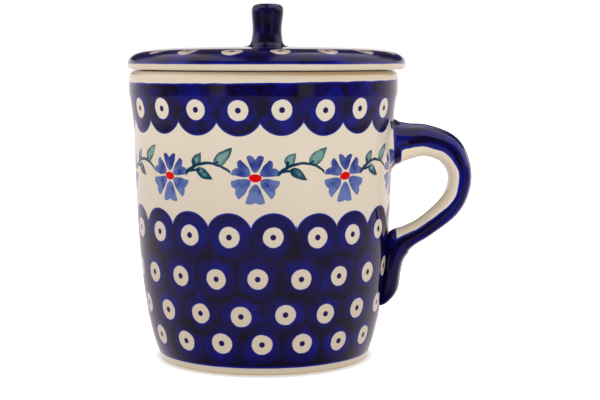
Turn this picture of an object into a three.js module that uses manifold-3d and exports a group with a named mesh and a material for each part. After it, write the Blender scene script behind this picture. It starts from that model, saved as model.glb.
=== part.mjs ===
// A lidded stoneware mug: a cup with a strap handle luted to its side, and a loose domed lid
// with a solid knob on top and a ring underneath that keeps it in the mouth of the cup.
//
// Millimetres. +Z is up and is the cup's axis, the handle points along +X, and the origin is
// the centre of the flat foot.

import * as THREE from 'three';
import { mergeVertices } from 'three/addons/utils/BufferGeometryUtils.js';
import Module from 'manifold-3d';

const wasm = await Module();
wasm.setup();

// ---- Driving dimensions ----

const gap = 0.3; // between pieces that touch

const cupHeight = 93.5;
const footRadius = 33.5;
const bellyRadius = 41.5;
const neckRadius = 42.1; // just under the band at the mouth
const bandRadius = 43.5; // the straight band at the mouth
const bandBottom = 86.5;
const wall = 4.2;
const floorThickness = 6;
const floorCorner = 11; // radius of the curve between floor and wall, inside

const lidRadius = 44.9;
const lidShift = 1.1; // the lid's play in the mouth, taken up towards the handle
const lidEdgeHeight = 3.6; // from the lid's flat underside to its rounded shoulder
const lidDomeHeight = 7.3;
const ringRadius = 37.3;
const ringWall = 3;
const ringDepth = 7;

const knobRadius = 5.25; // at its widest, near the top
const knobWaist = 4.8;
const knobFoot = 7;
const knobHeight = 13.5;

const roundSteps = 48; // facets around the cup and the lid
const knobSteps = 24;

// ---- Heights that follow from them ----

const lidBottom = cupHeight + gap;
const lidTop = lidBottom + lidDomeHeight;
const knobBottom = lidTop + gap;

// ---- Materials ----

const glaze = (red, green, blue) =>
  new THREE.MeshStandardMaterial({
    color: new THREE.Color().setRGB(red, green, blue, THREE.SRGBColorSpace),
    roughness: 0.15,
    metalness: 0,
  });

const cobalt = [0.11, 0.1, 0.34];
const cream = [0.87, 0.82, 0.74];

// ---- Shape helpers ----

// A smooth line through a few points given as [radius, height].
function smoothLine(points, steps) {
  const curve = new THREE.CatmullRomCurve3(
    points.map(([radius, height]) => new THREE.Vector3(radius, height, 0)),
    false,
    'centripetal',
  );
  return curve.getPoints(steps).map((point) => new THREE.Vector2(point.x, point.y));
}

// A quarter turn or any other stretch of a circle, from one angle to another.
function arc(radius, height, size, from, to, steps) {
  return Array.from({ length: steps + 1 }, (_, i) => {
    const angle = from + ((to - from) * i) / steps;
    return new THREE.Vector2(radius + size * Math.cos(angle), height + size * Math.sin(angle));
  });
}

// The solid that an outline makes when it turns about the Z axis.
function turned(outline, steps) {
  const geometry = new THREE.LatheGeometry(outline, steps);
  geometry.rotateX(Math.PI / 2);
  return geometry;
}

function toSolid(geometry) {
  const bare = geometry.clone();
  bare.deleteAttribute('normal');
  bare.deleteAttribute('uv');
  const merged = mergeVertices(bare, 1e-4);
  return new wasm.Manifold(
    new wasm.Mesh({
      numProp: 3,
      vertProperties: Float32Array.from(merged.attributes.position.array),
      triVerts: Uint32Array.from(merged.index.array),
    }),
  );
}

function toGeometry(solid) {
  const mesh = solid.getMesh();
  const geometry = new THREE.BufferGeometry();
  geometry.setAttribute('position', new THREE.BufferAttribute(mesh.vertProperties, 3));
  geometry.setIndex(new THREE.BufferAttribute(mesh.triVerts, 1));
  geometry.computeVertexNormals();
  return geometry;
}

function piece(name, geometry, colour) {
  const mesh = new THREE.Mesh(geometry, glaze(...colour));
  mesh.name = name;
  return mesh;
}

// ---- The cup ----

// The outside of the cup from the foot to the top of the band: a curve that swells from the
// foot, runs nearly straight up to the neck, and steps out a little to the band.
function cupSide(steps) {
  return smoothLine(
    [
      [footRadius, 0],
      [footRadius + 1.4, 3],
      [footRadius + 3.4, 9.5],
      [bellyRadius - 2.4, 22],
      [bellyRadius - 0.8, 38],
      [bellyRadius, 54],
      [neckRadius, 75],
      [bandRadius - 0.4, bandBottom - 3],
      [bandRadius, bandBottom],
      [bandRadius, cupHeight - wall / 2],
    ],
    steps,
  );
}

function cupGeometry() {
  const outside = cupSide(22);
  const lip = arc(bandRadius - wall / 2, cupHeight - wall / 2, wall / 2, 0, Math.PI, 6);
  const inside = [
    [bandRadius - wall, bandBottom],
    [neckRadius - wall, 75],
    [bellyRadius - wall, 54],
    [bellyRadius - wall - 1, 36],
    [bellyRadius - wall - 3, floorThickness + floorCorner],
  ];
  const corner = arc(
    bellyRadius - wall - 3 - floorCorner,
    floorThickness + floorCorner,
    floorCorner,
    0,
    -Math.PI / 2,
    6,
  );
  return turned(
    [
      new THREE.Vector2(0, 0),
      ...outside,
      ...lip.slice(1),
      ...smoothLine(inside, 8).slice(0, -1),
      ...corner,
      new THREE.Vector2(0, floorThickness),
    ],
    roundSteps,
  );
}

// ---- The handle ----

// Places along the handle, from its root in the wall, over the top and down to the tongue
// pressed against the cup: distance from the axis, height, thickness and width.
const handleStations = [
  { x: 36, z: 70, thick: 16, wide: 20 },
  { x: 42, z: 70, thick: 15, wide: 19 },
  { x: 47, z: 70.4, thick: 12, wide: 16 },
  { x: 53, z: 70.6, thick: 10.3, wide: 14.5 },
  { x: 60, z: 67.8, thick: 9.6, wide: 14 },
  { x: 63.7, z: 61.5, thick: 8, wide: 13.6 },
  { x: 63.6, z: 55, thick: 7.6, wide: 13.4 },
  { x: 60.4, z: 48.8, thick: 7.6, wide: 13.2 },
  { x: 53, z: 42.5, thick: 6.9, wide: 13 },
  { x: 47.6, z: 39.3, thick: 7.3, wide: 13.4 },
  { x: 44, z: 36.9, thick: 9.4, wide: 14 },
  { x: 42, z: 32.6, thick: 8.2, wide: 14.4 },
  { x: 41.3, z: 28, thick: 7.4, wide: 14.4 },
  { x: 40.5, z: 22.5, thick: 7.2, wide: 13.4 },
  { x: 38.8, z: 18.6, thick: 4.6, wide: 10 },
  { x: 37, z: 16.8, thick: 2, wide: 6 },
];

// The strap: rounded sections of changing size, skinned along the handle's middle line.
function strapGeometry(steps, sides) {
  const middle = new THREE.CatmullRomCurve3(
    handleStations.map(({ x, z }) => new THREE.Vector3(x, 0, z)),
  );
  const size = new THREE.CatmullRomCurve3(
    handleStations.map(({ thick, wide }) => new THREE.Vector3(thick / 2, wide / 2, 0)),
  );
  const across = new THREE.Vector3(0, 1, 0);
  const points = [];
  const addRing = (u) => {
    const centre = middle.getPoint(u);
    const inward = new THREE.Vector3().crossVectors(across, middle.getTangent(u));
    const half = size.getPoint(u);
    for (let i = 0; i < sides; i += 1) {
      const angle = (2 * Math.PI * i) / sides;
      points.push(
        centre
          .clone()
          .addScaledVector(inward, half.x * Math.cos(angle))
          .addScaledVector(across, half.y * Math.sin(angle)),
      );
    }
  };
  for (let step = 0; step <= steps; step += 1) addRing(step / steps);
  points.push(middle.getPoint(0), middle.getPoint(1));

  const triangles = [];
  const firstEnd = points.length - 2;
  const lastEnd = points.length - 1;
  for (let i = 0; i < sides; i += 1) {
    const next = (i + 1) % sides;
    for (let step = 0; step < steps; step += 1) {
      const here = step * sides;
      const there = here + sides;
      triangles.push(here + i, here + next, there + i);
      triangles.push(here + next, there + next, there + i);
    }
    triangles.push(firstEnd, next, i);
    triangles.push(lastEnd, steps * sides + i, steps * sides + next);
  }
  const geometry = new THREE.BufferGeometry().setFromPoints(points);
  geometry.setIndex(triangles);
  return geometry;
}

// The strap's ends are cut to the curve of the cup's wall.
function handleGeometry() {
  const outline = [
    new THREE.Vector2(0, -gap),
    ...cupSide(22).map((point) => new THREE.Vector2(point.x + gap, point.y)),
    new THREE.Vector2(0, cupHeight),
  ];
  const cup = toSolid(turned(outline, roundSteps));
  return toGeometry(toSolid(strapGeometry(40, 14)).subtract(cup));
}

// ---- The lid ----

function lidGeometry() {
  const edgeRound = 1.3;
  const shoulder = lidBottom + lidEdgeHeight;
  const dome = [
    [lidRadius, shoulder - 1.7],
    [lidRadius - 0.3, shoulder - 0.5],
    [lidRadius - 1.2, shoulder + 0.6],
    [lidRadius - 2.7, shoulder + 1.5],
    [lidRadius - 5.4, shoulder + 2.25],
    [33, lidTop - 0.75],
    [20, lidTop - 0.3],
    [0, lidTop],
  ];
  return turned(
    [
      new THREE.Vector2(0, lidBottom),
      ...arc(lidRadius - edgeRound, lidBottom + edgeRound, edgeRound, -Math.PI / 2, 0, 4),
      ...smoothLine(dome, 16),
    ],
    roundSteps,
  );
}

function ringGeometry() {
  const top = lidBottom - gap;
  const bottom = lidBottom - ringDepth;
  const corner = ringWall / 2;
  return turned(
    [
      new THREE.Vector2(ringRadius - ringWall, top),
      ...arc(ringRadius - corner, bottom + corner, corner, -Math.PI, 0, 6),
      new THREE.Vector2(ringRadius, top),
      new THREE.Vector2(ringRadius - ringWall, top),
    ],
    roundSteps,
  );
}

function knobGeometry() {
  const side = [
    [knobFoot, 0],
    [knobWaist + 0.6, 1.1],
    [knobWaist, 3.8],
    [knobWaist + 0.15, 6.8],
    [knobRadius, 10.2],
    [knobRadius - 0.2, 11.9],
    [knobRadius - 1.5, 13.2],
    [0, knobHeight],
  ].map(([radius, height]) => [radius, knobBottom + height]);
  return turned([new THREE.Vector2(0, knobBottom), ...smoothLine(side, 16)], knobSteps);
}

// ---- The mug ----

const mug = new THREE.Group();
mug.add(piece('mug_body', cupGeometry(), cobalt));
mug.add(piece('handle', handleGeometry(), cobalt));

const lidGroup = new THREE.Group();
lidGroup.position.x = lidShift;
lidGroup.add(piece('lid', lidGeometry(), cobalt));
lidGroup.add(piece('lid_ring', ringGeometry(), cream));
lidGroup.add(piece('lid_knob', knobGeometry(), cobalt));
mug.add(lidGroup);

export default mug;
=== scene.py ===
"""A lidded stoneware mug, stamped and painted in cobalt under a clear glaze.

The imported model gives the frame. The cup and the lid are turned again from the outlines of their
CAD nodes, finely enough for a glossy glaze, the ring and the knob are turned again between the
heights of theirs, and the handle is skinned again from its stations. Shapes are worked out in
millimetres and made in metres. The painting is worked out by each material's nodes.
"""

import math

import bpy
import numpy as np
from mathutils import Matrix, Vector, noise


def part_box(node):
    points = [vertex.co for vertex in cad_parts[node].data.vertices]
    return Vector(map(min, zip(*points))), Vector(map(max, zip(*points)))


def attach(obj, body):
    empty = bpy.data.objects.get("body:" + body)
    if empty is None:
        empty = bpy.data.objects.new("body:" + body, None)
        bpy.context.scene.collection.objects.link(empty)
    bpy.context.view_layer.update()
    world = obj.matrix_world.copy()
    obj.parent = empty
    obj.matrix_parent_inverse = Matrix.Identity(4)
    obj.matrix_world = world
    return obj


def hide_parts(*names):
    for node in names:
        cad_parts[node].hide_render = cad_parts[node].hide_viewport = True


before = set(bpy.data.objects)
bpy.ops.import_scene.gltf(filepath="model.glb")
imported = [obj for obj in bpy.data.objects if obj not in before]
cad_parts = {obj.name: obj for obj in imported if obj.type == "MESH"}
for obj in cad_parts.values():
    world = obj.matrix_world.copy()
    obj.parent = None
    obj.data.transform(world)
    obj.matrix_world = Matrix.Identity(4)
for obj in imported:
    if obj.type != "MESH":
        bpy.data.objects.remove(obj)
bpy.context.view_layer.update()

MM = 0.001  # one millimetre, in metres

# ---- Sizes, in millimetres ----


def box_mm(node):
    """A CAD node's lowest and highest corners, in millimetres."""
    return [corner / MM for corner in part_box(node)]


def cad_outline(node, axis=0.0):
    """The (radius, height) corners of a turned CAD node, on the side of its axis towards +X."""
    corners = {
        (round(v.co.x / MM - axis, 2), round(v.co.z / MM, 2))
        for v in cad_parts[node].data.vertices
        if abs(v.co.y) < 1e-6 and v.co.x / MM > axis - 0.01
    }
    return sorted(corners, key=lambda corner: (corner[1], corner[0]))


CUP_HEIGHT = box_mm("mug_body")[1].z
LID_LOW, LID_HIGH = box_mm("lid")
RING_LOW, RING_HIGH = box_mm("lid_ring")
KNOB_LOW, KNOB_HIGH = box_mm("lid_knob")

LID_AXIS = (LID_LOW.x + LID_HIGH.x) / 2
LID_RADIUS = (LID_HIGH.y - LID_LOW.y) / 2
RING_RADIUS = (RING_HIGH.y - RING_LOW.y) / 2
WALL = 4.2
LIP = WALL / 2  # the lip is a half round on the wall
FLOOR = 6.0  # the thickness of the cup's floor
FOOT_RING = (29.4, 32.9)  # the flat that the cup stands on, inner and outer radius
RECESS = 0.7  # how far the bottom inside that ring is raised
RING_WALL = 3.0
LID_EDGE = 1.3  # the rounding of the lid's lower edge


def on_outside(radius, height):
    """Whether a corner of the cup's outline is near the widest one at about its height."""
    widest = max(r for r, z in CUP_CORNERS if abs(z - height) < 6)
    return radius > widest - WALL / 2 - 0.4


CUP_CORNERS = cad_outline("mug_body")
CUP_SIDE = [  # the corners of its outside, from the foot to the top of the band
    corner
    for corner in CUP_CORNERS
    if corner[1] <= CUP_HEIGHT - LIP + 0.01 and on_outside(*corner)
]


def wall_radius(height):
    """The outside of the cup's wall at a height."""
    return float(np.interp(height, [z for _, z in CUP_SIDE], [r for r, _ in CUP_SIDE]))


FLOWERS_FROM, FLOWERS_TO = 52.6, 72.4  # one kind of painting ends here and the next begins
BAND_TO = 90.2  # the top of the cobalt at the mouth
COBALT_FROM = 2.3  # the foot below it is left cream
LID_COBALT_FROM = LID_LOW.z + 1.85  # and so is the lid's edge

# The handle's middle line from its root in the wall to the tongue pressed against the cup, as in
# the CAD but starting within the wall: distance from the axis, height, thickness and width.
HANDLE_STATIONS = [
    (38.8, 70, 15.6, 19.6),
    (42, 70, 15, 19),
    (47, 70.4, 12, 16),
    (53, 70.6, 10.3, 14.5),
    (60, 67.8, 9.6, 14),
    (63.7, 61.5, 8, 13.6),
    (63.6, 55, 7.6, 13.4),
    (60.4, 48.8, 7.6, 13.2),
    (53, 42.5, 6.9, 13),
    (47.6, 39.3, 7.3, 13.4),
    (44, 36.9, 9.4, 14),
    (42, 32.6, 8.2, 14.4),
    (41.3, 28, 7.4, 14.4),
    (40.5, 22.5, 7.2, 13.4),
    (38.8, 18.6, 4.6, 10),
    (37, 16.8, 2, 6),
]
ROOT_HEIGHT, ROOT_TALL, ROOT_WIDE = 70.0, 6.9, 9.0  # the handle's root, with half its sizes
COLLAR, COLLAR_WIDE = 2.3, 3.0  # the clay smoothed up around the root: how proud, how far


# ---- Mesh making ----


def smooth_line(points, steps):
    """A smooth line through points of any dimension, in so many steps from each to the next."""
    padded = [points[0], *points, points[-1]]
    line = []
    for a, b, c, d in zip(padded, padded[1:], padded[2:], padded[3:]):
        for step in range(steps):
            t = step / steps
            line.append(
                tuple(
                    (2 * q + (r - p) * t + (2 * p - 5 * q + 4 * r - s) * t**2
                     + (3 * q - p - 3 * r + s) * t**3) / 2
                    for p, q, r, s in zip(a, b, c, d)
                )
            )
    return [*line, tuple(points[-1])]


def arc(radius, height, size, start, end, steps):
    """Points on a circle about (radius, height), from one angle to another in degrees."""
    angles = [math.radians(start + (end - start) * i / steps) for i in range(steps + 1)]
    return [(radius + size * math.cos(a), height + size * math.sin(a)) for a in angles]


def straight(start, end, steps):
    """Points from start to end, with the last one left out."""
    return [tuple(p + (q - p) * i / steps for p, q in zip(start, end)) for i in range(steps)]


def new_object(name, points, faces):
    """A smooth-shaded mesh object from points in millimetres."""
    mesh = bpy.data.meshes.new(name)
    mesh.from_pydata([Vector(point) * MM for point in points], [], faces)
    mesh.validate()
    mesh.shade_smooth()
    piece = bpy.data.objects.new(name, mesh)
    bpy.context.scene.collection.objects.link(piece)
    return piece


def turned(name, outline, around, axis=0.0, closed=False, shift=None):
    """The body that an outline of (radius, height) makes about an upright axis at x = axis.

    An outline that isn't closed starts and ends on the axis. shift moves each point a little.
    """
    points, rows = [], []
    for radius, height in outline:
        steps = around if radius > 1e-6 else 1
        rows.append(range(len(points), len(points) + steps))
        for i in range(steps):
            angle = 2 * math.pi * i / around
            point = Vector((radius * math.cos(angle), radius * math.sin(angle), height))
            if shift:
                point = shift(point)
            points.append((axis + point.x, point.y, point.z))
    faces = []
    pairs = list(zip(rows, rows[1:])) + ([(rows[-1], rows[0])] if closed else [])
    for low, high in pairs:
        for i in range(around):
            here, there = i, (i + 1) % around
            corners = [
                low[here % len(low)],
                low[there % len(low)],
                high[there % len(high)],
                high[here % len(high)],
            ]
            faces.append(list(dict.fromkeys(corners)))
    return new_object(name, points, faces)


def hand_thrown(size, scale):
    """A shift for turned() that makes a body a little uneven, as one thrown by hand is.

    It swells and shrinks by up to size over about scale, both in millimetres.
    """

    def shift(point):
        swell = noise.noise(point / scale)
        return point + size * swell * Vector((point.x, point.y, 0)).normalized()

    return shift


def use_materials(piece, materials, choose=None):
    """Gives a piece its materials. choose(middle) says which one a face gets, by its middle."""
    for material in materials:
        piece.data.materials.append(material)
    if choose:
        for face in piece.data.polygons:
            face.material_index = choose(face.center / MM)


# ---- Arithmetic on a material's nodes ----


class Value:
    """A number that varies over a surface: an output of one of its material's nodes."""

    def __init__(self, socket):
        self.socket = socket

    def __add__(self, other):
        return maths("ADD", self, other)

    def __sub__(self, other):
        return maths("SUBTRACT", self, other)

    def __rsub__(self, other):
        return maths("SUBTRACT", other, self)

    def __mul__(self, other):
        return maths("MULTIPLY", self, other)

    def __truediv__(self, other):
        return maths("DIVIDE", self, other)

    __radd__ = __add__


def plug(socket, value):
    """Gives an input socket a number, a vector, a colour or another node's output."""
    if isinstance(value, Value):
        socket.id_data.links.new(value.socket, socket)
    elif isinstance(value, tuple) and len(value) == 3 and socket.type == "RGBA":
        socket.default_value = (*value, 1.0)
    else:
        socket.default_value = value


def add_node(tree, kind, inputs=(), **settings):
    """A new node with its settings, its inputs given as (name or number, value) pairs."""
    node = tree.nodes.new(kind)
    for key, setting in settings.items():
        setattr(node, key, setting)
    for key, value in inputs:
        plug(node.inputs[key], value)
    return node


def maths(operation, *values):
    """The result of a maths node on numbers, of which at least one is a Value."""
    tree = next(v for v in values if isinstance(v, Value)).socket.id_data
    node = add_node(tree, "ShaderNodeMath", enumerate(values), operation=operation)
    return Value(node.outputs[0])


def smooth_step(value, start, end):
    """0 before start and 1 after end, with a smooth rise between them. start may be the higher."""
    inputs = [("Value", value), ("From Min", start), ("From Max", end)]
    tree = value.socket.id_data
    node = add_node(tree, "ShaderNodeMapRange", inputs, interpolation_type="SMOOTHSTEP")
    return Value(node.outputs[0])


def blend(share, first, second):
    """The first colour where share is 0 or less, and the second where it is 1 or more."""
    tree = share.socket.id_data
    # The node's colours are its inputs 6 and 7 and its output 2.
    node = add_node(tree, "ShaderNodeMix", data_type="RGBA")
    plug(node.inputs[0], share)
    plug(node.inputs[6], first)
    plug(node.inputs[7], second)
    return Value(node.outputs[2])


def mix(share, first, second):
    """The first number where share is 0 and the second where it is 1."""
    return first + (second - first) * share


def lowest(*values):
    """The lowest of some values at each point."""
    result = values[0]
    for value in values[1:]:
        result = maths("MINIMUM", result, value)
    return result


def highest(*values):
    """The highest of some values at each point."""
    result = values[0]
    for value in values[1:]:
        result = maths("MAXIMUM", result, value)
    return result


def hypotenuse(a, b):
    """The length of a line that runs a one way and b the other."""
    return maths("SQRT", a * a + b * b)


def srgb(red, green, blue):
    """A colour given as it looks on a screen, from 0 to 255, as a shader takes it."""
    shares = [channel / 255 for channel in (red, green, blue)]
    return tuple(
        s / 12.92 if s <= 0.04045 else ((s + 0.055) / 1.055) ** 2.4 for s in shares
    )


class Surface:
    """A material, and where each of its points lies on the pot, in millimetres."""

    def __init__(self, name, axis=0.0):
        self.material = bpy.data.materials.new(name)
        self.material.use_nodes = True
        self.tree = self.material.node_tree
        self.shader = self.tree.nodes["Principled BSDF"]
        place = add_node(self.tree, "ShaderNodeTexCoord").outputs["Object"]
        scaled = add_node(
            self.tree,
            "ShaderNodeVectorMath",
            [(0, Value(place)), (1, (1 / MM, 1 / MM, 1 / MM))],
            operation="MULTIPLY",
        )
        self.place = Value(scaled.outputs[0])
        parts = add_node(self.tree, "ShaderNodeSeparateXYZ", [(0, self.place)])
        self.x, self.y, self.z = [Value(output) for output in parts.outputs]
        self.x = self.x - axis

    def turn(self):
        """How far round the pot a point is, in turns: 0 at the front, positive to the handle."""
        return maths("ARCTAN2", self.x, self.y * -1.0) / (2 * math.pi)

    def cloud(self, size, detail=1.0, shift=0.0):
        """A soft random pattern from 0 to 1, with blots about size millimetres across."""
        moved = add_node(
            self.tree,
            "ShaderNodeVectorMath",
            [(0, self.place), (1, (shift, shift, shift))],
            operation="ADD",
        )
        inputs = [
            ("Vector", Value(moved.outputs[0])),
            ("Scale", 1 / size),
            ("Detail", detail),
        ]
        return Value(add_node(self.tree, "ShaderNodeTexNoise", inputs).outputs[0])

    def attribute(self, name):
        """A number stored on the mesh's points."""
        node = add_node(self.tree, "ShaderNodeAttribute", attribute_name=name)
        return Value(node.outputs["Fac"])

    def fire(self, colour, relief, roughness=0.06):
        """Finishes the material as a glaze, and returns it.

        relief is how thick the painting lies, and roughness the least that the glaze has.
        """
        waves = self.cloud(9.0) * 0.6 + self.cloud(2.6, shift=31.0) * 0.08
        bump = add_node(
            self.tree,
            "ShaderNodeBump",
            [("Strength", 0.7), ("Distance", 0.05 * MM), ("Height", waves + relief)],
        )
        plug(self.shader.inputs["Base Color"], colour)
        plug(self.shader.inputs["Roughness"], self.cloud(5.0, 2.0, 7.0) * 0.06 + roughness)
        plug(self.shader.inputs["Normal"], Value(bump.outputs[0]))
        self.shader.inputs["IOR"].default_value = 1.42  # a little below window glass
        return self.material


# ---- The painting: colours ----

CREAM = srgb(220, 208, 191)
CREAM_WARM = srgb(215, 201, 179)
# The cup's cream in painted shade, towards its foot and on its side away from the handle.
CREAM_PAINTED_SHADE = srgb(196, 181, 160)
# The handle's cream, painted lighter and warmer than the cup's: painted light from the white table
# below.
LOOP_CREAM_PAINTED_LIGHT = srgb(240, 228, 210)
LOOP_WARM_PAINTED_LIGHT = srgb(236, 219, 190)
COBALT_THIN = srgb(12, 12, 108)
COBALT = srgb(12, 8, 74)
COBALT_THICK = srgb(16, 6, 36)
COBALT_EDGE = srgb(20, 36, 158)
PETAL_PALE = srgb(98, 114, 166)
PETAL_DEEP = srgb(40, 56, 128)
RED = srgb(208, 6, 12)
LEAF_PALE = srgb(112, 150, 142)
LEAF_DEEP = srgb(14, 66, 84)
STEM = srgb(12, 52, 78)
CLAY = srgb(196, 178, 150)
AMBER = srgb(186, 148, 84)
IRON = srgb(96, 66, 44)

DOT = 3.15  # the stamped dots' radius
PUPIL = 0.9  # the blue spot inside a dot
DISC_TOP, DISC_LOW = 7.8, 7.45  # the sponged discs that the dots sit in


def around_row(surface, count, first):
    """Which cell of a row a point is in, and how far it is from the cell's middle, in cells.

    first is where one stamp of the row stands, in degrees from the front towards the handle.
    A point's distance is positive where it lies further round that way than the middle.
    """
    cell = surface.turn() * count - first / 360 * count
    index = maths("FLOOR", cell + 0.5)
    return maths("FLOORED_MODULO", index, float(count)), cell - index


def scatter(index, seed):
    """Three random numbers from -0.5 to 0.5 for each cell of a row."""
    tree = index.socket.id_data
    inputs = [("W", index + seed)]
    node = add_node(tree, "ShaderNodeTexWhiteNoise", inputs, noise_dimensions="1D")
    parts = add_node(tree, "ShaderNodeSeparateColor", [(0, Value(node.outputs["Color"]))])
    return [Value(output) - 0.5 for output in parts.outputs[:3]]


class StampRow:
    """One row of stamped dots in their sponged discs.

    up is how far above the row a point is, radius the row's distance from the pot's axis, count
    how many stamps go round, first where one of them stands in degrees, disc the discs' radius,
    and jitter how unevenly they are set, all but count and first in millimetres.
    """

    def __init__(self, surface, up, radius, count, first, disc, jitter=0.9):
        index, offset = around_row(surface, count, first)
        pitch = 2 * math.pi * radius / count
        aside, above, wider = scatter(index, 17.0 * count + first)
        across = offset * pitch - aside * jitter
        up = up - above * (jitter * 0.7)
        self.near = hypotenuse(across, up)  # the distance from the nearest stamp's middle
        self.next = hypotenuse(pitch - maths("ABSOLUTE", across), up)  # and from its neighbour's
        hand_cut = 1.0 + (surface.cloud(3.1, shift=first) - 0.5) * 0.14 + wider * 0.06
        self.dot = self.near * hand_cut
        self.disc = disc
        self.edge = surface.cloud(4.3, shift=count) * 0.5 - 0.25

    def coats(self):
        """How many discs of the row cover a point."""
        here = smooth_step(self.near + self.edge, self.disc + 0.3, self.disc - 0.3)
        beside = smooth_step(self.next + self.edge, self.disc + 0.3, self.disc - 0.3)
        return here + beside

    def rim(self):
        """1 on the thick line that a sponge leaves at its disc's edge, 0 elsewhere."""
        inset = self.disc - 0.5 - self.edge
        here = maths("ABSOLUTE", self.near - inset)
        beside = maths("ABSOLUTE", self.next - inset)
        return smooth_step(lowest(here, beside), 0.9, 0.1)

    def ring(self):
        """1 on the white ring of a dot, 0 elsewhere."""
        inside = smooth_step(self.dot, DOT + 0.09, DOT - 0.09)
        return inside * (1.0 - self.pupil(0.09))

    def pupil(self, soft):
        """1 on the blue spot in the middle of a dot, 0 elsewhere."""
        return smooth_step(self.dot, PUPIL + soft, PUPIL - soft)

    def halo(self):
        """1 in a thin line just outside a dot, where the cobalt is washed out."""
        return smooth_step(self.dot, DOT + 0.5, DOT + 0.05)


def cobalt_field(surface, rows, ground, brushed, sponged=1.0, mottled=1.0):
    """The sponged cobalt around the dots, with the dots left in the ground's colour.

    It is thin inside a disc, thick at the discs' rims and where they overlap, and as thick as
    brushed says, from 0 to 1, where no disc covers the ground. sponged says how plainly the
    discs show, and mottled how blotchy the cobalt is. The second result is 1 on the dots' rings.
    """
    coats = rows[0].coats()
    for row in rows[1:]:
        coats = coats + row.coats()
    rims = highest(*(row.rim() for row in rows))
    bare = maths("MAXIMUM", 1.0 - coats, 0.0) * brushed
    washed = smooth_step(lowest(*(row.dot for row in rows)), 6.4, 3.4) * 0.25
    blots = surface.cloud(8.0, 1.0, 3.0) * 2.0 + surface.cloud(2.4, 3.0, 19.0) * 1.7 - 1.75
    blots = blots * mottled
    shapes = highest(rims * 0.5, (coats - 1.0) * 0.5) * sponged
    depth = highest(shapes, bare) + blots - washed
    tone = blend(smooth_step(depth, -0.75, 0.05), COBALT_THIN, COBALT)
    tone = blend(smooth_step(depth, 0.0, 0.8), tone, COBALT_THICK)
    halo = highest(*(row.halo() for row in rows))
    tone = blend(halo * 0.65, tone, COBALT_EDGE)
    tone = blend(highest(*(row.pupil(0.3) for row in rows)) * 0.8, tone, COBALT_THICK)
    ring = highest(*(row.ring() for row in rows))
    return blend(ring, tone, ground), ring


def cream(surface, light=CREAM, warm=CREAM_WARM):
    """The clear glaze on cream stoneware, warmer where it pools, with a few iron specks."""
    ground = blend(surface.cloud(14.0, 3.0, 11.0), light, warm)
    inputs = [("Vector", surface.place), ("Scale", 1 / 8.0)]
    nearest = add_node(surface.tree, "ShaderNodeTexVoronoi", inputs).outputs["Distance"]
    specks = smooth_step(Value(nearest), 0.024, 0.012) * 0.6
    return blend(specks, ground, IRON)


def cup_ground_with_painted_shade(surface):
    """The cream on the cup's outside, with painted shade: duller towards the foot and away from the
    handle.
    """
    # aside is painted shade on the side away from the handle; the dulling towards the foot is
    # painted shade too.
    aside = smooth_step(surface.x, 40.0, -40.0) * smooth_step(surface.z, 74.0, 60.0)
    return blend(
        smooth_step(surface.z, 72.0, 8.0) + aside * 0.22, cream(surface), CREAM_PAINTED_SHADE
    )


def painted(ground, field, inside):
    """A painted field on the ground's colour, and how much it covers a point.

    inside is the distance into the field, in millimetres.
    """
    covered = smooth_step(inside, -0.08, 0.1)
    rim = smooth_step(inside, 0.8, 0.1)
    return blend(covered, ground, blend(rim * 0.75, field, COBALT_EDGE)), covered


def root_paint(surface):
    """About how far inside the cobalt that rings the handle's root a point is, in mm."""
    across, up = surface.y / (ROOT_WIDE * 0.92), (surface.z - ROOT_HEIGHT) / ROOT_TALL
    reach = 1.2  # how far out the cobalt goes, where the root's own edge is 1
    inside = (reach - hypotenuse(across, up)) * ((ROOT_WIDE + ROOT_TALL) / 2)
    return lowest(inside, surface.x)  # on the handle's side of the cup only


# ---- The painting: each part of the pot ----


def upper_glaze():
    """The band at the mouth: cream lip, cobalt with a row of dots, and scallops below them."""
    surface = Surface("upper_glaze")
    row_height = 82.0
    row = StampRow(
        surface, surface.z - row_height, radius=43.0, count=20, first=-9.1, disc=DISC_TOP, jitter=0.5
    )
    sponged = smooth_step(surface.z, row_height + 3.0, row_height - 1.0)
    ground = cup_ground_with_painted_shade(surface)
    colour, ring = cobalt_field(surface, [row], ground, 0.55, sponged, 1.8)
    wander = (surface.cloud(6.0, 2.0) - 0.5) * 0.5
    slope = 0.01  # the cobalt reaches a little higher towards the handle
    below_lip = BAND_TO + surface.x * slope + wander - surface.z
    above_dots = surface.z - row_height
    scallops = row.disc - lowest(row.near, row.next) - wander * 0.5
    inside = lowest(below_lip, highest(above_dots, scallops, root_paint(surface)))
    # The glaze wears thin to amber along the lip. The broader, fainter amber below it is painted
    # shade under the lid, and so is the share that grows towards the handle's side.
    lip = surface.z - CUP_HEIGHT + wander * 0.4
    lip_wear_and_shade = smooth_step(lip, -1.5, -0.8) * 0.5 + smooth_step(lip, -3.6, -1.6) * 0.16
    lip_wear_and_shade = lip_wear_and_shade * (smooth_step(surface.x, -30.0, 25.0) * 0.7 + 0.5)
    colour, covered = painted(blend(lip_wear_and_shade, ground, AMBER), colour, inside)
    return surface.fire(colour, covered * 0.6 - ring * 0.5)


def lower_glaze():
    """The cup's lower half: rows of dots, with the top row's discs as scallops."""
    surface = Surface("lower_glaze")
    top_height = 43.6
    rows = [
        StampRow(surface, surface.z - height, wall_radius(height), count, first, DISC_LOW)
        for height, count, first in [
            (top_height, 19, 5.8),
            (30.7, 19, -0.8),
            (19.4, 18, -9.4),
            (10.0, 18, 0.3),
        ]
    ]
    ground = cup_ground_with_painted_shade(surface)
    colour, ring = cobalt_field(surface, rows, ground, 0.7)
    wander = (surface.cloud(6.0, 2.0) - 0.5) * 0.5
    top = rows[0]
    scallops = top.disc - lowest(top.near, top.next) - wander * 0.4
    below = top_height - surface.z
    inside = lowest(highest(below, scallops), surface.z - COBALT_FROM + wander * 0.4)
    colour, covered = painted(ground, colour, inside)
    return surface.fire(colour, covered * 0.6 - ring * 0.5)


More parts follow.
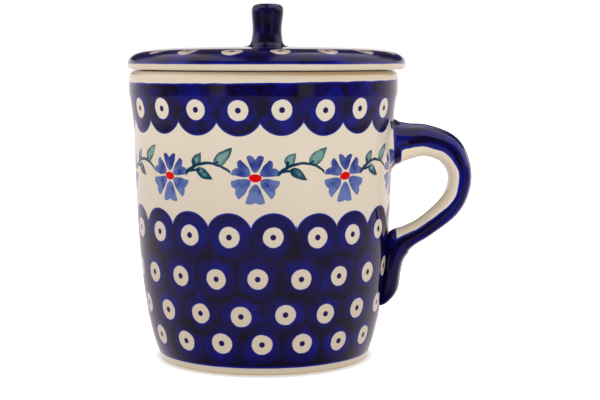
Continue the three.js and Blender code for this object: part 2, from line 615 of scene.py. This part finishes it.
def petals(across, up):
    """How far inside a six-petalled flower a point is, in mm, and where it lies along a petal."""
    out = hypotenuse(across, up)
    angle = maths("ARCTAN2", up, across)
    sixth = math.pi / 3
    folded = maths("FLOORED_MODULO", angle, sixth) - sixth / 2
    along = out * maths("COSINE", folded)
    side = maths("ABSOLUTE", out * maths("SINE", folded))
    throat, length, lobe = 1.7, 7.35, 1.75  # each petal ends in two lobes, so far off its middle
    flanks = ((along - throat) * 1.6 - side * side) / (side * 1.6 + 1.5)
    off_lobe = side - lobe
    lift = up / out  # 1 at the top of the flower, -1 at its foot, where a petal ends flatter
    end = length - lift * 0.5 - along - off_lobe * off_lobe * (lift * 0.11 + 0.29)
    return maths("SMOOTH_MIN", flanks, end, 0.5), along


def leaf(across, up, base, tip, width):
    """How far inside a leaf a point is: round at its base, pointed at its tip."""
    length = math.dist(base, tip)
    run, rise = (tip[0] - base[0]) / length, (tip[1] - base[1]) / length
    forward = ((across - base[0]) * run + (up - base[1]) * rise) / length
    side = maths("ABSOLUTE", (up - base[1]) * run - (across - base[0]) * rise)
    past_base = highest(forward, 0.0)
    outline = maths("SQRT", past_base) * (1.0 - forward) * 2.6  # 1 where the leaf is widest
    return outline * (width / 2) - side + lowest(forward, 0.0) * length


def stroke(across, up, start, end, width):
    """How far inside a brush stroke a point is."""
    length = math.dist(start, end)
    run, rise = (end[0] - start[0]) / length, (end[1] - start[1]) / length
    forward = (across - start[0]) * run + (up - start[1]) * rise
    nearest = maths("MINIMUM", maths("MAXIMUM", forward, 0.0), length)
    aside = across - start[0] - nearest * run
    above = up - start[1] - nearest * rise
    return width / 2 - hypotenuse(aside, above)


def flower_glaze():
    """The cream band around the middle: flowers joined by sprigs of leaves."""
    surface = Surface("flower_glaze")
    height, count, first = 61.7, 9, -2.1
    pitch = 2 * math.pi * wall_radius(height) / count
    wander = (surface.cloud(3.4, 1.0, 5.0) - 0.5) * 0.8
    up = surface.z - height + wander
    offset = around_row(surface, count, first)[1]
    across = offset * pitch + (surface.cloud(3.7, 1.0, 23.0) - 0.5) * 0.8

    inside, along = petals(across, up)
    shade = surface.cloud(2.6, 2.0, 41.0) + up * 0.03 - maths("ABSOLUTE", along - 4.2) * 0.06
    petal = blend(smooth_step(shade, 0.15, 0.75), PETAL_PALE, PETAL_DEEP)
    petal = blend(smooth_step(inside, 0.5, 0.0) * 0.3, petal, PETAL_DEEP)
    colour = blend(smooth_step(inside, -0.1, 0.14), cup_ground_with_painted_shade(surface), petal)
    eye_wide, eye_tall = 1.9, 1.22
    eye = hypotenuse(across / eye_wide, up / eye_tall)
    colour = blend(smooth_step(eye, 1.08, 0.95), colour, RED)

    # The sprig grows from the flower on its left: across is measured on from there. Its stem is
    # an arch from one flower to the next.
    across = maths("FLOORED_MODULO", across, pitch)
    arch_middle, arch_top, bend = 14.4, 4.4, 0.0545
    stem_start, stem_end = 6.6, 21.6
    past = across - arch_middle
    slope = past * (2 * bend)
    above = up - arch_top + past * past * bend
    thick = 0.66 - across * 0.013
    stem = thick - maths("ABSOLUTE", above) / maths("SQRT", slope * slope + 1.0)
    stem = lowest(stem, across - stem_start, stem_end - across)
    twigs = highest(
        stem,
        stroke(across, up, (9.3, 2.8), (9.8, 4.6), 0.95),
        stroke(across, up, (8.4, 1.9), (11.4, 2.3), 0.9),
        stroke(across, up, (16.6, 4.2), (17.6, 4.9), 0.8),
    )
    leaves = highest(
        leaf(across, up, (16.7, 3.9), (22.3, 9.2), 3.7),
        leaf(across, up, (10.6, 2.6), (15.9, -0.8), 2.9),
        leaf(across, up, (9.4, 3.7), (12.3, 7.5), 3.1),
    )
    veins = surface.cloud(1.9, 2.0, 61.0) * 1.6 + surface.cloud(7.0, 1.0, 67.0) * 1.6
    veins = veins - smooth_step(up, 2.6, 1.2) * 0.6
    green = blend(smooth_step(leaves * 0.8 + veins, 1.6, 2.7), LEAF_DEEP, LEAF_PALE)
    colour = blend(smooth_step(leaves, -0.08, 0.12), colour, green)
    colour = blend(smooth_step(twigs, -0.08, 0.12), colour, STEM)
    colour, ringed = painted(colour, COBALT, root_paint(surface))
    return surface.fire(colour, smooth_step(inside, -0.1, 0.2) * 0.2 + ringed * 0.6)


def plain_glaze():
    """Cream inside the cup, under the lid and on the ring."""
    surface = Surface("plain_glaze")
    return surface.fire(cream(surface), surface.cloud(3.0) * 0.2)


def bare_clay():
    """The unglazed foot: matt, sandy and a little stained."""
    surface = Surface("bare_clay")
    grain = surface.cloud(0.5, 4.0)
    colour = blend(smooth_step(grain + surface.cloud(6.0) * 0.5, 0.5, 1.0), CLAY, AMBER)
    return surface.fire(colour, grain * 1.2, 0.55)


def handle_glaze():
    """Cobalt over the handle, streaked lengthwise by the brush, with its inner side left cream."""
    surface = Surface("handle_glaze")
    along = surface.attribute("along")
    outward = surface.attribute("outward")
    lengthwise = [("X", outward * 2.4), ("Y", along * 9.0), ("Z", surface.y * 0.12)]
    place = add_node(surface.tree, "ShaderNodeCombineXYZ", lengthwise).outputs[0]
    inputs = [("Vector", Value(place)), ("Scale", 1.0), ("Detail", 2.0)]
    streaks = Value(add_node(surface.tree, "ShaderNodeTexNoise", inputs).outputs[0])
    tone = blend(smooth_step(streaks, 0.45, 0.62), COBALT, COBALT_THIN)
    tone = blend(smooth_step(streaks, 0.5, 0.32), tone, COBALT_THICK)
    tone = blend(smooth_step(surface.z, 39.5, 34.0) * 0.7, tone, COBALT_THICK)
    wander = (surface.cloud(5.0, 2.0, 3.0) - 0.5) * 0.2
    # The cobalt ends part way round to the inner side, but next to the cup it covers that too.
    edge = smooth_step(along, 0.25, 0.38) * 0.12 - smooth_step(along, 0.42, 0.55) * 0.24 - 0.34
    half_thick = 3.6
    inside = (outward - edge + wander) * half_thick
    cream_from = smooth_step(surface.z, 48.0, 54.0) * 1.3 + 43.2
    inside = maths("SMOOTH_MAX", inside, cream_from + wander - surface.x, 0.8)
    # The inner side's cream is painted lighter here, as painted light on the loop.
    ground = cream(surface, LOOP_CREAM_PAINTED_LIGHT, LOOP_WARM_PAINTED_LIGHT)
    colour, covered = painted(ground, tone, inside)
    return surface.fire(colour, covered * 0.6)


def lid_glaze():
    """The lid: cream edge, then cobalt with rings of dots up to the knob."""
    surface = Surface("lid_glaze", LID_AXIS)
    out = hypotenuse(surface.x, surface.y)
    rows = [
        StampRow(surface, radius - out, radius, count, first, DISC_LOW)
        for radius, count, first in [(39.8, 17, 7.4), (26.0, 11, 20.0)]
    ]
    ground = blend(surface.cloud(9.0, 2.0, 43.0) * 0.3, cream(surface), AMBER)
    colour, ring = cobalt_field(surface, rows, ground, 0.55)
    wander = (surface.cloud(7.0, 2.0) - 0.5) * 0.3
    inside = surface.z - LID_COBALT_FROM + wander
    colour, covered = painted(ground, colour, inside)
    return surface.fire(colour, covered * 0.6 - ring * 0.5)


def knob_glaze():
    """Dark cobalt, as it pools on the knob."""
    surface = Surface("knob_glaze", LID_AXIS)
    tone = blend(smooth_step(surface.cloud(4.0, 2.0), 0.32, 0.6), COBALT, COBALT_THICK)
    tone = blend(smooth_step(surface.cloud(6.0, 1.0, 9.0), 0.55, 0.75), tone, COBALT_THIN)
    return surface.fire(tone, surface.cloud(3.0) * 0.3, roughness=0.15)


# ---- The cup ----

thrown = hand_thrown(0.12, 26.0)


def root_distance(point):
    """How far a point on the wall is outside the handle's root, in millimetres."""
    if point.x < 0:
        return 99.0
    across, up = point.y / ROOT_WIDE, (point.z - ROOT_HEIGHT) / ROOT_TALL
    return (math.hypot(across, up) - 1) * (ROOT_TALL + ROOT_WIDE) / 2


def cup_shift(point):
    """The cup's unevenness, and the collar of clay smoothed up around the handle's root."""
    shifted = thrown(point)
    away = root_distance(point)
    if point.z > ROOT_HEIGHT:
        away *= 1 + (point.z - ROOT_HEIGHT) / ROOT_TALL
    if away < COLLAR_WIDE and math.hypot(point.x, point.y) > wall_radius(point.z) - 1:
        rise = 1 - max(away, 0) / COLLAR_WIDE
        shifted.x += COLLAR * rise * rise
    return shifted


def make_cup():
    """The cup, with its recessed foot, its rounded lip and its inside."""
    outside = smooth_line(CUP_SIDE, 6)
    band = outside[-1][0]
    lip = arc(band - LIP, CUP_HEIGHT - LIP, LIP, 0, 180, 18)
    inside = [
        (radius, height)
        for radius, height in reversed(CUP_CORNERS)
        if FLOOR + 0.1 < height < CUP_HEIGHT - LIP + 0.01 and not on_outside(radius, height)
    ]
    inside.append((inside[-1][0] - 3.2, FLOOR))
    inner, outer = FOOT_RING
    outline = [
        (0.0, RECESS),
        *straight((0.3, RECESS), (inner - 2.4, RECESS), 8),
        (inner - 1.2, RECESS - 0.2),
        (inner - 0.6, 0.12),
        *straight((inner, 0.0), (outer, 0.0), 4),
        (outer + 0.4, 0.12),
        *outside[2:],
        *lip[1:],
        *smooth_line(inside, 4)[1:],
        *straight((inside[-1][0] - 0.6, FLOOR), (0.6, FLOOR), 10),
        (0.0, FLOOR),
    ]
    cup = turned("cup", outline, 360, shift=cup_shift)

    materials = [upper_glaze(), flower_glaze(), lower_glaze(), cream_glaze, bare_clay()]
    upper, flowers, lower, plain, bare = range(len(materials))

    def choose(middle):
        out = math.hypot(middle.x, middle.y)
        within = out < wall_radius(middle.z) - 1.2 and middle.z > FLOOR - 1
        if within or middle.z > CUP_HEIGHT - 0.6:
            return plain
        if middle.z < 0.3 or middle.z < 0.6 and out > outer:
            return bare
        if middle.z < FLOWERS_FROM:
            return lower
        return flowers if middle.z < FLOWERS_TO else upper

    use_materials(cup, materials, choose)
    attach(cup, "mug")
    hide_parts("mug_body")


# ---- The handle ----


def section(angle):
    """A point of the strap's section, from -1 to 1: outward from the loop, and across it."""
    squareness = 2 / 2.3
    outward = math.copysign(abs(math.cos(angle)) ** squareness, math.cos(angle))
    across = math.copysign(abs(math.sin(angle)) ** squareness, math.sin(angle))
    if outward > 0:  # two shallow grooves run along its outer side
        outward -= 0.05 * math.exp(-(((abs(across) - 0.5) / 0.16) ** 2))
    return outward, across


def make_handle():
    """The strap, from its root to its tongue.

    Each point keeps how far along the strap and how far outward on its section it is.
    """
    steps, sides = 14, 72
    stations = smooth_line(HANDLE_STATIONS, steps)
    points, outwards, alongs = [], [], []
    for i, (x, z, thick, wide) in enumerate(stations):
        before, after = stations[max(i - 1, 0)], stations[min(i + 1, len(stations) - 1)]
        tangent = Vector((after[0] - before[0], after[1] - before[1])).normalized()
        for side in range(sides):
            outward, across = section(2 * math.pi * side / sides)
            reach = outward * thick / 2
            points.append((x - tangent.y * reach, across * wide / 2, z + tangent.x * reach))
            outwards.append(outward)
            alongs.append(i / (len(stations) - 1))
    faces = []
    for i in range(len(stations) - 1):
        for side in range(sides):
            here, there = i * sides + side, i * sides + (side + 1) % sides
            faces.append((here, here + sides, there + sides, there))
    faces.append(tuple(range(sides)))
    last = (len(stations) - 1) * sides
    faces.append(tuple(last + side for side in reversed(range(sides))))
    handle = new_object("strap_handle", points, faces)
    for name, numbers in (("along", alongs), ("outward", outwards)):
        stored = handle.data.attributes.new(name, "FLOAT", "POINT")
        stored.data.foreach_set("value", numbers)
    use_materials(handle, [handle_glaze()])
    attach(handle, "mug")
    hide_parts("handle")


# ---- The lid ----


def make_lid():
    """The lid's domed plate."""
    low = LID_LOW.z
    flat = LID_RADIUS - LID_EDGE
    dome = [c for c in cad_outline("lid", LID_AXIS) if c[1] > low + LID_EDGE + 0.1]
    outline = [
        (0.0, low),
        *straight((0.6, low), (flat, low), 12),
        *arc(flat, low + LID_EDGE, LID_EDGE, -90, 0, 8),
        *smooth_line(dome, 6)[:-1],
        (0.0, dome[-1][1]),
    ]
    lid = turned("lid_plate", outline, 300, LID_AXIS, shift=hand_thrown(0.1, 30.0))
    use_materials(
        lid, [lid_glaze(), cream_glaze], lambda middle: 0 if middle.z > low + 0.02 else 1
    )
    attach(lid, "lid_assembly")
    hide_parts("lid")


def make_ring():
    """The ring under the plate that keeps the lid in the mouth of the cup."""
    joint = 0.3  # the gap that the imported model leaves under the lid, closed here
    low, top, half = RING_LOW.z, RING_HIGH.z + joint, RING_WALL / 2
    outline = [
        *straight((RING_RADIUS - RING_WALL, top), (RING_RADIUS - RING_WALL, low + half), 6),
        *arc(RING_RADIUS - half, low + half, half, -180, 0, 16),
        *straight((RING_RADIUS, low + half + 0.5), (RING_RADIUS, top), 6),
        (RING_RADIUS, top),
    ]
    ring = turned(
        "locating_ring", outline, 200, LID_AXIS, closed=True, shift=hand_thrown(0.08, 20.0)
    )
    use_materials(ring, [cream_glaze])
    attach(ring, "lid_assembly")
    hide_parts("lid_ring")


def make_knob():
    """The waisted knob, leaning a little and spreading at its foot where it is luted to the lid."""
    low, top = KNOB_LOW.z, KNOB_HIGH.z
    side = [
        (7.9, low - 0.45),
        (6.6, low - 0.2),
        (5.8, low + 0.15),
        (5.3, low + 0.7),
        (5.02, low + 1.6),
        (4.8, low + 2.9),
        (4.65, low + 4.6),
        (4.72, low + 6.6),
        (4.92, low + 8.6),
        (5.1, low + 10.3),
        (5.1, low + 11.4),
        (4.9, low + 12.2),
        (4.4, low + 12.85),
        (3.2, low + 13.3),
        (1.6, top - 0.03),
        (0.0, top),
    ]
    hidden = low - 1.2  # its bottom, inside the lid
    outline = [(0.0, hidden), (8.2, hidden), *smooth_line(side, 8)[:-1], (0.0, top)]
    uneven = hand_thrown(0.12, 6.0)

    def lean(point):
        return uneven(point) + Vector((0.02 * (point.z - low), 0, 0))

    knob = turned("knob", outline, 96, LID_AXIS, shift=lean)
    use_materials(knob, [knob_glaze()])
    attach(knob, "lid_assembly")
    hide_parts("lid_knob")


# ---- The studio ----


def make_floor():
    """A white table that glows with painted light, leaving a painted shadow close to the foot, and
    as white as the backdrop beyond.
    """
    size = 3000.0  # so wide that its edge is never seen
    points = [(x, y, 0) for x in (-size, size) for y in (-size, size)]
    floor = new_object("floor", points, [(0, 2, 3, 1)])
    surface = Surface("floor_white")
    # The floor glows as painted light, except close to the foot, where the missing glow is a painted
    # shadow that reaches a little less far to the sides than to the front.
    out = hypotenuse(surface.x * 1.06, surface.y)
    foot = FOOT_RING[1]
    white = smooth_step(out, foot + 1.6, foot + 8.8)
    plug(surface.shader.inputs["Base Color"], (0.9, 0.9, 0.9))
    plug(surface.shader.inputs["Roughness"], 0.8)
    plug(surface.shader.inputs["Emission Color"], (1.0, 1.0, 1.0))
    plug(surface.shader.inputs["Emission Strength"], white)
    floor.data.materials.append(surface.material)
    floor.visible_glossy = floor.visible_diffuse = False


def make_world():
    """A white backdrop all round, in whose place the glaze mirrors a plain studio.

    turn is how far a direction lies to either side of the one towards the camera, in degrees,
    and z is 1 straight up and -1 straight down.
    """
    world = bpy.data.worlds.new("studio")
    bpy.context.scene.world = world
    world.use_nodes = True
    tree = world.node_tree
    towards = Value(add_node(tree, "ShaderNodeTexCoord").outputs["Generated"])
    parts = add_node(tree, "ShaderNodeSeparateXYZ", [(0, towards)])
    x, y, z = [Value(output) for output in parts.outputs]
    turn = maths("ABSOLUTE", maths("ARCTAN2", x, y * -1.0)) * (180 / math.pi)
    # Level with the mug it is dark behind the camera, then comes a pale stripe at each side, and
    # then a dim room that brightens towards the backdrop.
    past_dark = smooth_step(turn, 28.0, 31.5)
    stripe = past_dark * smooth_step(turn, 46.0, 40.0)
    room = (smooth_step(turn, 75.0, 155.0) * 0.9 + 0.08) * past_dark + stripe * 0.5 + 0.02
    # Below is the table. Above is a lit panel at each side, and overhead a ceiling with a dark gap.
    table = (smooth_step(turn, 60.0, 160.0) * 0.5 + 0.4) * smooth_step(z, -1.0, -0.3)
    panels = smooth_step(turn, 55.0, 80.0) * smooth_step(turn, 150.0, 115.0) * 1.3 + 0.06
    overhead = smooth_step(x, 0.0, 0.1) * 1.2 + smooth_step(x, -0.15, -0.4) * 1.3 + 0.08
    mirrored = mix(smooth_step(z, -0.13, -0.19), room, table)
    mirrored = mix(smooth_step(z, 0.11, 0.17), mirrored, panels)
    mirrored = mix(smooth_step(z, 0.5, 0.65), mirrored, overhead)
    # A blend stops at the second colour, so that is twice the tint, for light up to 2.
    tinted = blend(mirrored * 0.5, (0.0, 0.0, 0.0), (2.0, 1.78, 1.9))
    daylight = blend(smooth_step(z, 0.1, -0.3), (0.68, 0.68, 0.68), (1.1, 1.1, 1.1))
    rays = add_node(tree, "ShaderNodeLightPath")
    colour = blend(Value(rays.outputs["Is Glossy Ray"]), daylight, tinted)
    colour = blend(Value(rays.outputs["Is Camera Ray"]), colour, (1.0, 1.0, 1.0))
    plug(tree.nodes["Background"].inputs["Color"], colour)


def add_softbox(name, place, width, height, brightness):
    """A soft light aimed at the mug. One of brightness 1 would itself look just white.

    The glaze doesn't mirror it: what the glaze mirrors is all in the world.
    """
    light = bpy.data.lights.new(name, "AREA")
    light.shape = "RECTANGLE"
    light.size, light.size_y = width, height
    light.energy = brightness * math.pi * width * height
    lamp = bpy.data.objects.new(name, light)
    lamp.location = place
    mug_middle = Vector((0, 0, 0.06))
    lamp.rotation_euler = (mug_middle - Vector(place)).to_track_quat("-Z", "Y").to_euler()
    lamp.visible_glossy = False
    bpy.context.scene.collection.objects.link(lamp)


def make_camera():
    """The photographer's view: a long lens level with the lid, tipped down a little."""
    aside, away, height = 0.01184, 0.480, 0.0992
    tip = 5.73  # degrees
    camera = bpy.data.cameras.new("camera")
    camera.lens = 88.3
    camera.sensor_width = 36
    eye = bpy.data.objects.new("camera", camera)
    eye.location = (aside, -away, height)
    eye.rotation_euler = (math.radians(90 - tip), 0, 0)
    bpy.context.scene.collection.objects.link(eye)
    bpy.context.scene.camera = eye


make_camera()
make_world()
make_floor()
for name, x in (("softbox_left", -0.75), ("softbox_right", 0.75)):
    add_softbox(name, (x, -0.32, 0.4), width=1.1, height=0.6, brightness=1.1)
add_softbox("fill", (0, -1.0, 0.9), width=1.6, height=1.2, brightness=0.4)
bpy.context.scene.view_settings.view_transform = "Standard"

cream_glaze = plain_glaze()  # shared by the cup, the lid and its ring
make_cup()
make_handle()
make_lid()
make_ring()
make_knob()
